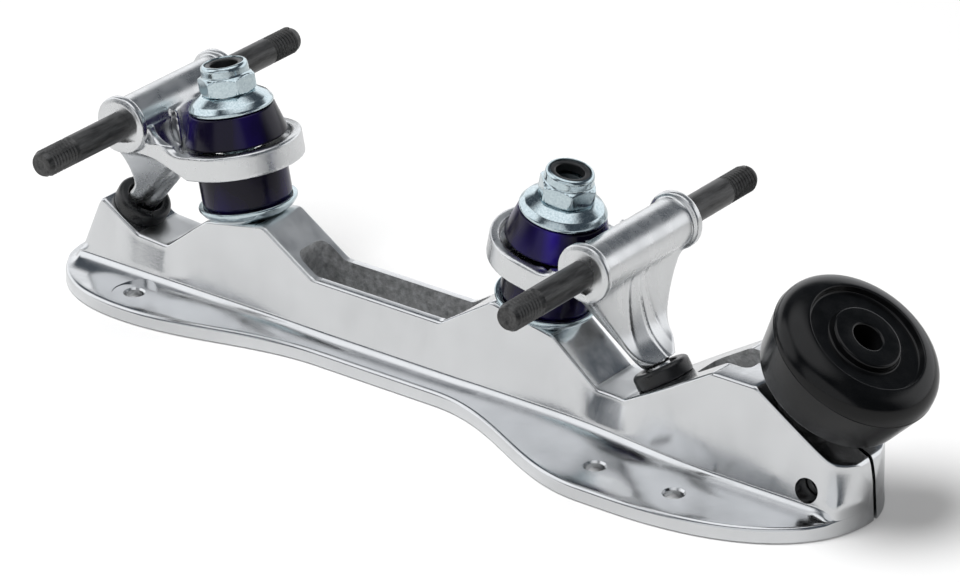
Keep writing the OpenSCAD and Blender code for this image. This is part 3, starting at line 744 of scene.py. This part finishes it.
def surfaceNet(field, low, high, step):  # naive surface net, then pulled on to the surface
    axes = [np.arange(a, b + step, step) for a, b in zip(low, high)]
    shape = [len(a) for a in axes]
    grid = np.stack(np.meshgrid(*axes, indexing="ij"), -1).reshape(-1, 3)
    value = np.concatenate([field(part) for part in np.array_split(grid, 12)]).reshape(shape)
    inside = value < 0
    cells = tuple(n - 1 for n in shape)
    total = np.zeros(cells + (3,))
    hits = np.zeros(cells)
    corners = [(i, j, k) for i in (0, 1) for j in (0, 1) for k in (0, 1)]
    part = lambda a, c: a[c[0]:c[0] + cells[0], c[1]:c[1] + cells[1], c[2]:c[2] + cells[2]]
    for a in corners:
        for axis in range(3):
            if a[axis]:
                continue
            b = tuple(c + (n == axis) for n, c in enumerate(a))
            va, vb = part(value, a), part(value, b)
            cross = part(inside, a) != part(inside, b)
            t = np.where(cross, va / np.where(va == vb, 1, va - vb), 0)
            for n in range(3):
                total[..., n] += cross * (a[n] + (t if n == axis else 0))
            hits += cross
    active = hits > 0
    index = np.full(cells, -1)
    index[active] = np.arange(active.sum())
    where = np.argwhere(active)
    verts = np.asarray(low) + (where + total[active] / hits[active][:, None]) * step
    faces = []
    for axis in range(3):
        b1, b2 = (axis + 1) % 3, (axis + 2) % 3
        lowSlice = [slice(1, n - 1) for n in shape]
        highSlice = list(lowSlice)
        lowSlice[axis], highSlice[axis] = slice(0, shape[axis] - 1), slice(1, shape[axis])
        a, b = inside[tuple(lowSlice)], inside[tuple(highSlice)]
        for flip in (False, True):
            spots = np.argwhere((a & ~b) if not flip else (~a & b))
            spots[:, b1] += 1
            spots[:, b2] += 1
            quad = []
            for d1, d2 in ((0, 0), (1, 0), (1, 1), (0, 1)):
                c = spots.copy()
                c[:, b1] -= 1 - d1
                c[:, b2] -= 1 - d2
                quad.append(index[c[:, 0], c[:, 1], c[:, 2]])
            quad = np.stack(quad, -1)
            faces.append(quad[:, ::-1] if flip else quad)
    faces = np.concatenate(faces)
    delta = 0.02
    for _ in range(3):
        f = field(verts)
        g = np.stack([(field(verts + d) - field(verts - d)) / (2 * delta) for d in np.eye(3) * delta], -1)
        shift = -g * (f / np.maximum(0.25, (g * g).sum(1)))[:, None]
        length = norm(shift, axis=1)
        verts = verts + shift * np.minimum(1, 0.5 * step / np.maximum(length, 1e-9))[:, None]
    return verts, [tuple(int(i) for i in f) for f in faces]


def makeTrucks():
    shape = surfaceNet(truckField, *truckSizes["box"], truckSizes["voxel"])
    for end, rear in bothEnds:
        piece = makePiece(f"{end}TruckCasting", shape, truckMetal, f"{end}_truck",
                          [f"{end}_truck"], rear, sharp=50)
        print("stage:", piece.name, len(piece.data.polygons), "faces")


makeTrucks()


# threads as a Geometry Nodes spiral

def threadTree():
    tree = bpy.data.node_groups.new("threadSpiral", "GeometryNodeTree")
    face = tree.interface
    face.new_socket("Geometry", in_out="INPUT", socket_type="NodeSocketGeometry")
    for name, value in (("Radius", 4.0), ("Turns", 9.0), ("Length", 10.0), ("Ridge", 0.4)):
        face.new_socket(name, in_out="INPUT", socket_type="NodeSocketFloat").default_value = value
    face.new_socket("Material", in_out="INPUT", socket_type="NodeSocketMaterial")
    face.new_socket("Geometry", in_out="OUTPUT", socket_type="NodeSocketGeometry")
    nodes, link = tree.nodes, tree.links.new
    given, result = nodes.new("NodeGroupInput"), nodes.new("NodeGroupOutput")
    spiral = nodes.new("GeometryNodeCurveSpiral")
    spiral.inputs["Resolution"].default_value = 40
    pairs = ("Rotations", "Turns"), ("Start Radius", "Radius"), ("End Radius", "Radius"), ("Height", "Length")
    for socket, source in pairs:
        link(given.outputs[source], spiral.inputs[socket])
    normal = nodes.new("GeometryNodeSetCurveNormal")
    normal.mode = "Z_UP"
    outline = nodes.new("GeometryNodeCurvePrimitiveCircle")
    outline.inputs["Resolution"].default_value = 4
    link(given.outputs["Ridge"], outline.inputs["Radius"])
    sweep = nodes.new("GeometryNodeCurveToMesh")
    sweep.inputs["Fill Caps"].default_value = True
    realize, paint = nodes.new("GeometryNodeRealizeInstances"), nodes.new("GeometryNodeSetMaterial")
    link(spiral.outputs["Curve"], normal.inputs["Curve"])
    link(normal.outputs["Curve"], sweep.inputs["Curve"])
    link(outline.outputs["Curve"], sweep.inputs["Profile Curve"])
    link(sweep.outputs["Mesh"], realize.inputs["Geometry"])
    link(realize.outputs["Geometry"], paint.inputs["Geometry"])
    link(given.outputs["Material"], paint.inputs["Material"])
    link(paint.outputs["Geometry"], result.inputs["Geometry"])
    return tree


threads = threadTree()


def threadShape(radius, length, pitch, ridge, material):  # ridge only, along +Z from 0, as a shape in mm
    holder = newObject("threadHolder", bpy.data.meshes.new("threadHolder"))
    modifier = holder.modifiers.new("thread", "NODES")
    modifier.node_group = threads
    values = {"Radius": radius, "Turns": length / pitch, "Length": length, "Ridge": ridge,
              "Material": material}
    for item in threads.interface.items_tree:
        if item.in_out == "INPUT" and item.name in values:
            modifier[item.identifier] = values[item.name]
    mesh = evaluatedMesh(holder)
    verts = np.zeros(len(mesh.vertices) * 3)
    mesh.vertices.foreach_get("co", verts)
    faces = [tuple(p.vertices) for p in mesh.polygons]
    bpy.data.objects.remove(holder)
    bpy.data.meshes.remove(mesh)
    return verts.reshape(-1, 3), faces


axleSizes = {
    "radius": 3.97, "length": 110.8, "thread": 11.6, "pitch": 1.25, "ridge": 0.36,
    "chamfer": 0.8, "dimple": 1.5,
}


def makeAxles():
    s = Sizes(axleSizes)
    half, r, root = s.length / 2, s.radius, s.radius - s.ridge
    inner = half - s.thread
    tip = [(0, half - 0.7, 0), (s.dimple, half, 0.3), (r - s.chamfer, half, 0.2),
           (root, half - s.chamfer, 0), (root, inner, 0), (r, inner - 0.7, 0.1)]
    path = [(a, -b, c) for a, b, c in tip] + tip[::-1]
    core = lathe(roundedPath(path, steps=3), steps=64)
    ridge = threadShape(root, s.thread - s.chamfer - 0.5, s.pitch, s.ridge, axleMetal)
    upper = movedShape(ridge, at(0, 0, inner))
    lower = movedShape(upper, flipFrame)
    shape = movedShape(joined(core, upper, lower), at(layout["axleX"], 0, layout["axleH"]) @ acrossFrame)
    for end, rear in bothEnds:
        makePiece(f"{end}AxleRod", shape, axleMetal, f"{end}_truck", [f"{end}_axle"], rear)
    print("stage: axles made")


makeAxles()


# kingpin stack: washers, cushions, lock nut, pin

stackSizes = {
    "hole": 4.9, "sheet": 1.6, "lowerR": 14.2, "upperR": 12.15, "cupDeep": 4.4,
    "cushionR": 12.9, "upperFoot": 14.8, "cushionHole": 5.25, "lowerH": 15.0, "upperH": 13.2,
    "flats": 14.3, "nutH": 5.2, "collarH": 3.4, "collarR": 7.0, "nutHole": 4.77, "turn": (14.0, 30.0),
    "insertR": 5.6, "insertHole": 3.95, "pinLow": -27.94, "pinHead": 6, "pinR": 4.75,
}
coneFall = tan(radians(8))  # slope of the cushions' faces on the ring
chamferRise = sqrt(3)  # slope of the cones that cut the corners of a hexagon


def cupWasherPath(r):
    s = Sizes(stackSizes)
    hole, t, deep = s.hole, s.sheet, s.cupDeep
    return roundedPath([
        (hole, 0, 0.2), (r - 4.2, 0, 2.2), (r - 1.2, 1.8, 1.4), (r, 3.4, 0.9), (r, deep, 0.7),
        (r - t, deep, 0.6), (r - t, 3.6, 0.8), (r - t - 0.9, 2.6, 0.8),
        (r - 4.4, t, 1.4), (hole, t, 0.2)], True, 5)


def lowerCushionPath():
    s = Sizes(stackSizes)
    r, h, hole = s.cushionR, s.lowerH, s.cushionHole
    seat = s.lowerR - s.sheet - 0.15
    return roundedPath([
        (hole, 0, 0.3), (s.lowerR - 4.8, 0, 0.8), (seat - 1, 1.5, 0.8), (min(seat, r), 2.6, 0.6),
        (r, 3.8, 1.0), (r, h - (r - hole) * coneFall - 0.2, 1.1), (hole, h, 0.3)], True, 6)


def upperCushionPath():
    s = Sizes(stackSizes)
    r, h, hole, foot = s.cushionR - 0.4, s.upperH, s.cushionHole, s.upperFoot
    cup = s.upperR - s.sheet - 0.15
    brim = h - (s.cupDeep - s.sheet)
    return roundedPath([
        (hole, 0, 0.3), (foot, (foot - hole) * coneFall + 0.1, 0.6), (r - 0.3, brim - 0.35, 0.6),
        (cup, brim, 0.3), (cup, h - 2.2, 0.5), (cup - 1, h - 1.4, 0.5),
        (s.upperR - 4.8, h, 0.6), (hole, h, 0.3)], True, 6)


def nutRows(turn):
    s = Sizes(stackSizes)
    flat, h, hole, collar, insert = s.flats, s.nutH, s.nutHole, s.collarR, s.insertR
    top = h + s.collarH
    rows = [(0, hole), (0, 6.4), (0, flat / 2 - 0.15)]
    for z in (0.12, 0.3, 0.5, 0.75):
        rows.append((z, hexRadius(flat, turn, flat / 2 - 0.15 + chamferRise * z)))
    for z in (0.95, 0.75, 0.5, 0.25, 0.0):
        rows.append((h - z, hexRadius(flat, turn, flat / 2 - 0.1 + chamferRise * z)))
    rows += [(h + 0.02, collar + 0.02), (h + 0.25, collar - 0.18), (h + 0.8, collar - 0.2)]
    for a in quarterArc(8):
        rows.append((top - 1.3 + 1.3 * sin(a), collar - 0.2 - 1.1 * (1 - cos(a))))
    rows += [(top - 0.12, insert + 0.05), (top - 0.7, insert), (top - 2.95, insert + 0.05), (top - 2.95, hole)]
    return rows


def insertPath():
    s = Sizes(stackSizes)
    top = s.nutH + s.collarH - 0.35
    hole, r = s.insertHole, s.insertR - 0.02
    return roundedPath([(hole, top - 2.5, 0), (r, top - 2.5, 0), (r, top, 0.3), (hole, top, 0.5)], True, 4)


def kingpinRows():
    s = Sizes(stackSizes)
    flat, low, r = s.flats, s.pinLow, s.pinR
    head, tip = low + s.pinHead, layout["nutZ"] + s.nutH + s.collarH - 3.4
    rows = [(low, 0.01), (low, 5.0), (low, flat / 2 - 0.2)]
    for z in (0.3, 0.6, 0.9):
        rows.append((low + z, hexRadius(flat, 0, flat / 2 - 0.2 + chamferRise * z)))
    rows += [(head, hexRadius(flat, 0)), (head, r), (tip - 0.8, r), (tip, 3.9)]
    rows += [(tip - 0.4, 2.2), (tip - 0.5, 0.01)]
    return rows


def makeStacks():
    s = Sizes(stackSizes)
    nutFrame = kingpinFrame @ at(0, 0, layout["nutZ"])
    lowerSeat, upperSeat = (kingpinFrame @ at(0, 0, z) for z in (s.sheet, layout["upperCushionZ"]))
    lowerCup, upperCup = (lathe(cupWasherPath(r), True) for r in (s.lowerR, s.upperR))
    lower, upper, insert = (lathe(path(), True) for path in (lowerCushionPath, upperCushionPath, insertPath))
    pin = polarRows(kingpinRows(), closed=False)
    for n, (end, rear) in enumerate(bothEnds):
        parts = [
            ("LowerWasher", lowerCup, kingpinFrame, zincMetal, "zinc_steel", "lower_washer"),
            ("UpperWasher", upperCup, nutFrame @ flipFrame, zincMetal, "zinc_steel", "upper_washer"),
            ("LowerCushion", lower, lowerSeat, urethane, "urethane", "lower_cushion"),
            ("UpperCushion", upper, upperSeat, urethane, "urethane", "upper_cushion"),
            ("LockNut", polarRows(nutRows(s.turn[n])), nutFrame, zincMetal, "zinc_steel", "lock_nut"),
            ("NutInsert", insert, nutFrame, nylon, "nylon", "nut_insert"),
            ("Kingpin", pin, kingpinFrame, zincMetal, "zinc_steel", "kingpin"),
        ]
        for name, shape, place, material, slotName, node in parts:
            shape = movedShape(shape, place)
            makePiece(end + name, shape, material, "plate", [f"{end}_{node}"], rear, sharp=40)
    print("stage: kingpin stacks made")


makeStacks()


# pivot cups

cupSizes = {
    "r": 8.1, "h": 4.4, "plugR": 6.25, "plugDeep": 6.85, "ball": 4.4, "ballZ": 0.8, "mouth": 5.25, "lip": 1.3,
}


def makeCups():
    s = Sizes(cupSizes)
    r, h, plug, deep, ball, ballZ = s.r, s.h, s.plugR, s.plugDeep, s.ball, s.ballZ
    path = list(roundedPath([
        (0, -deep, 0), (plug, -deep, 0.6), (plug, 0, 0), (r, 0, 0.5), (r, h, s.lip),
        (s.mouth, h, 0.6), (ball, ballZ, 0)], steps=6))
    path += [(ball * cos(a), ballZ - ball * sin(a)) for a in quarterArc(8)[1:]]
    shape = movedShape(lathe(path, steps=80), pivotFrame)
    for end, rear in bothEnds:
        makePiece(f"{end}PivotCup", shape, cupRubber, "plate", [f"{end}_pivot_cup"], rear)
    print("stage: pivot cups made")


makeCups()


# toe stop and its stem

stopSizes = {
    "gap": 8.7, "thick": 20.1, "backR": 21.4, "maxR": 24.24, "seamZ": 21.78, "crownR": 13.8, "power": 2.3,
    "rimR": 16.9, "hubR": 9.9, "deep": 2.2, "hole": 4.1, "holeDeep": 7, "flangeT": 3, "seam": 0.12,
    "stemR": 7.95, "stemDeep": 20.0, "flangeR": 14.0, "flangeZ": 12.7, "pitch": 2.31, "ridge": 0.75,
}


def makeToeStop():
    s = Sizes(stopSizes)
    back, face = s.gap, s.gap + s.thick
    wide, seamZ, seam, hub, hole, bottom = s.maxR, s.seamZ, s.seam, s.hubR, s.hole, face - s.holeDeep
    stemR, flangeR, flangeZ, flangeTop = s.stemR, s.flangeR, s.flangeZ, s.flangeZ + s.flangeT
    rim, floor, top = s.rimR, face - s.deep, face + 0.1
    path = list(roundedPath([
        (stemR + 0.03, back, 0.3), (s.backR, back, 0.9), (wide, seamZ - 0.25, 0)], steps=6))
    path += [(wide - seam, seamZ - seam), (wide - seam, seamZ)]  # moulding seam
    for a in quarterArc(40)[1:-1]:
        r = s.crownR + (wide - seam - s.crownR) * cos(a) ** (2 / s.power)
        if r > rim + 0.5:
            path.append((r, seamZ + (top - seamZ) * sin(a) ** (2 / s.power)))
    path += list(roundedPath([
        path[-1] + (0,), (rim, path[-1][1] + 0.05, 0.5), (rim - 0.5, floor, 0.6), (hub + 0.5, floor, 0.6),
        (hub, top, 0.9), (hole + 0.1, top, 0.7), (hole, bottom, 0.3), (0, bottom, 0),
    ], steps=8))[1:]
    around, above = flangeR + 0.02, flangeTop + 0.02
    inner = [(0, above), (around, above), (around, flangeZ), (stemR + 0.03, flangeZ)]
    shape = movedShape(lathe(inner + path, steps=160), toeFrame)
    makePiece("toeStopBlock", shape, stopRubber, "toe_stop", ["toe_stop"], sharp=30)
    root, low = stemR - s.ridge, -s.stemDeep
    core = lathe(roundedPath([
        (0, low, 0), (root - 0.8, low, 0.3), (root, low + 1.2, 0), (root, back - 0.8, 0),
        (stemR, back + 0.2, 0), (stemR, flangeZ, 0), (flangeR, flangeZ, 0.3), (flangeR, flangeTop, 0.3),
        (0, flangeTop, 0)], steps=3), steps=80)
    ridge = threadShape(root, back + s.stemDeep - 3, s.pitch, s.ridge, stemMetal)
    stem = movedShape(joined(core, movedShape(ridge, at(0, 0, low + 1.5))), toeFrame)
    makePiece("toeStopStem", stem, stemMetal, "toe_stop", ["toe_stop_stem"])
    print("stage: toe stop made")


makeToeStop()


# clamp screw with its hexagon socket

clampSizes = {"headR": 3.35, "seat": 5.7, "headH": 4.0, "shankR": 2.0, "end": -9.2, "socket": 3.0}


def makeClampScrew():
    s = Sizes(clampSizes)
    end, seat, top, r, head = s.end, s.seat, s.seat + s.headH, s.shankR, s.headR
    socket = hexRadius(s.socket, 10)
    rows = [(end, 0.01), (end, 1.6), (end + 0.5, r), (seat, r), (seat, head - 0.1), (seat + 0.1, head),
            (top - 0.5, head), (top - 0.15, head - 0.15), (top, head - 0.5), (top, 1.95),
            (top - 0.2, socket), (top - 2.2, socket), (top - 2.6, 0.01)]
    shape = movedShape(polarRows(rows, 96, False), at(layout["clampX"], 0, layout["clampH"]) @ acrossFrame)
    makePiece("clampScrew", shape, axleMetal, "plate", ["clamp_screw"])
    print("stage: clamp screw made")


makeClampScrew()


# studio: floor, light and camera

studio = {
    "azimuth": 36.92208546, "elevation": 25.86149704, "distance": 1507.07, "aim": (23.71885, -32.96334),
    "focal": 5481.07, "photoWidth": 960, "sensor": 36.0,
    "floorHalf": 4, "floorZ": -0.0002, "floorTone": 0.80, "floorLift": 0.16, "sky": 0.25, "mirror": 1.3,
    "roomTone": (0.075, 0.088, 0.105), "boxTone": (0.97, 0.98, 1.0),
    "leftBox": (-0.70, -0.45, 0.55), "rightBox": (0.36, -0.92, 0.14),
    "keyPlace": (-0.42, -0.52, 1.9), "keySize": 1.5, "keyPower": 44.0, "keyAim": (0.02, 0, 0.02),
}


def makeFloor():
    s = Sizes(studio)
    half, z = s.floorHalf, s.floorZ
    mesh = bpy.data.meshes.new("floor")
    corners = [(-half, -half, z), (half, -half, z), (half, half, z), (-half, half, z)]
    mesh.from_pydata(corners, [], [(0, 1, 2, 3)])
    floor = newObject("floor", mesh)
    material, tree, shader = newMaterial("paleFloor")
    setInputs(shader, {"Base Color": (s.floorTone,) * 3 + (1,), "Roughness": 0.9,
                       "Specular IOR Level": 0.0, "Emission Color": (1, 1, 1, 1)})
    path, lift = tree.nodes.new("ShaderNodeLightPath"), tree.nodes.new("ShaderNodeMath")
    lift.operation = "MULTIPLY"
    lift.inputs[1].default_value = s.floorLift  # only the camera sees the floor shine
    tree.links.new(path.outputs["Is Camera Ray"], lift.inputs[0])
    tree.links.new(lift.outputs[0], shader.inputs["Emission Strength"])
    mesh.materials.append(material)


def makeWorld():  # white to the camera; metal sees a backdrop, three soft boxes and a dark room
    s = Sizes(studio)
    world = bpy.data.worlds.new("studioWorld")
    bpy.context.scene.world = world
    world.use_nodes = True
    tree = world.node_tree
    tree.nodes.clear()
    link = tree.links.new
    coord = tree.nodes.new("ShaderNodeTexCoord")
    a = radians(s.azimuth)

    def along(direction):
        dot = tree.nodes.new("ShaderNodeVectorMath")
        dot.operation = "DOT_PRODUCT"
        dot.inputs[1].default_value = direction
        link(coord.outputs["Generated"], dot.inputs[0])
        return dot.outputs["Value"]

    def combined(kind, first, second):
        node = tree.nodes.new("ShaderNodeMath")
        node.operation = kind
        link(first, node.inputs[0])
        link(second, node.inputs[1])
        return node.outputs[0]

    height = along((0, 0, 1))
    behind = addRange(tree, along((-sin(a), cos(a), 0)), 0, 1, -0.25, 0.15)
    backdrop = combined("MULTIPLY", behind, addRange(tree, height, 1, 0, 0.44, 0.56))
    overhead = addRange(tree, height, 0, 1, 0.80, 0.92)
    left = addRange(tree, along(s.leftBox), 0, 1, 0.86, 0.94)
    right = addRange(tree, along(s.rightBox), 0, 0.62, 0.76, 0.84)
    bright = combined("MAXIMUM", combined("MAXIMUM", backdrop, overhead), combined("MAXIMUM", left, right))
    roomTone = tuple(c / s.mirror for c in s.roomTone)
    room = addRamp(tree, bright, [(0.0, roomTone), (1.0, s.boxTone)])
    path = tree.nodes.new("ShaderNodeLightPath")
    glossy = combined("MAXIMUM", path.outputs["Is Glossy Ray"], path.outputs["Is Transmission Ray"])
    soft, seen, mirrorSky = (tree.nodes.new("ShaderNodeBackground") for _ in range(3))
    setInputs(soft, {"Color": (1, 1, 1, 1), "Strength": s.sky})
    setInputs(seen, {"Color": (1, 1, 1, 1), "Strength": 1.0})
    setInputs(mirrorSky, {"Strength": s.mirror})
    link(room, mirrorSky.inputs["Color"])

    def mixed(share, first, second):
        node = tree.nodes.new("ShaderNodeMixShader")
        for i, source in enumerate((share, first, second)):
            link(source, node.inputs[i])
        return node.outputs[0]

    unseen = mixed(glossy, soft.outputs[0], mirrorSky.outputs[0])
    result = tree.nodes.new("ShaderNodeOutputWorld")
    link(mixed(path.outputs["Is Camera Ray"], unseen, seen.outputs[0]), result.inputs["Surface"])


def makeLamp():
    s = Sizes(studio)
    data = bpy.data.lights.new("keyLamp", "AREA")
    data.shape, data.size, data.energy = "DISK", s.keySize, s.keyPower
    lamp = newObject("keyLamp", data)
    lamp.location = s.keyPlace
    lamp.visible_glossy = False  # metal sees the soft boxes of the world instead
    aim = Matrix.Translation(s.keyAim).translation - lamp.location
    lamp.rotation_euler = aim.to_track_quat("-Z", "Y").to_euler()


def makeCamera():
    s = Sizes(studio)
    a, e = radians(s.azimuth), radians(s.elevation)
    right = np.array([cos(a), sin(a), 0])
    back = np.array([sin(a) * cos(e), -cos(a) * cos(e), sin(e)])
    up = np.cross(back, right)
    place = s.aim[0] * right + s.aim[1] * up + np.array([0, 0, layout["axleH"]])
    place = (place + s.distance * back) * mm
    data = bpy.data.cameras.new("camera")
    data.sensor_fit, data.sensor_width = "HORIZONTAL", s.sensor
    data.lens = s.sensor * s.focal / s.photoWidth
    data.clip_start, data.clip_end = 0.05, 30
    camera = newObject("camera", data)
    camera.matrix_world = Matrix([*np.column_stack((right, up, back, place)), (0, 0, 0, 1)])
    bpy.context.scene.camera = camera


makeFloor()
makeWorld()
makeLamp()
makeCamera()
bpy.context.scene.view_settings.view_transform = "Standard"
print("stage: studio made")
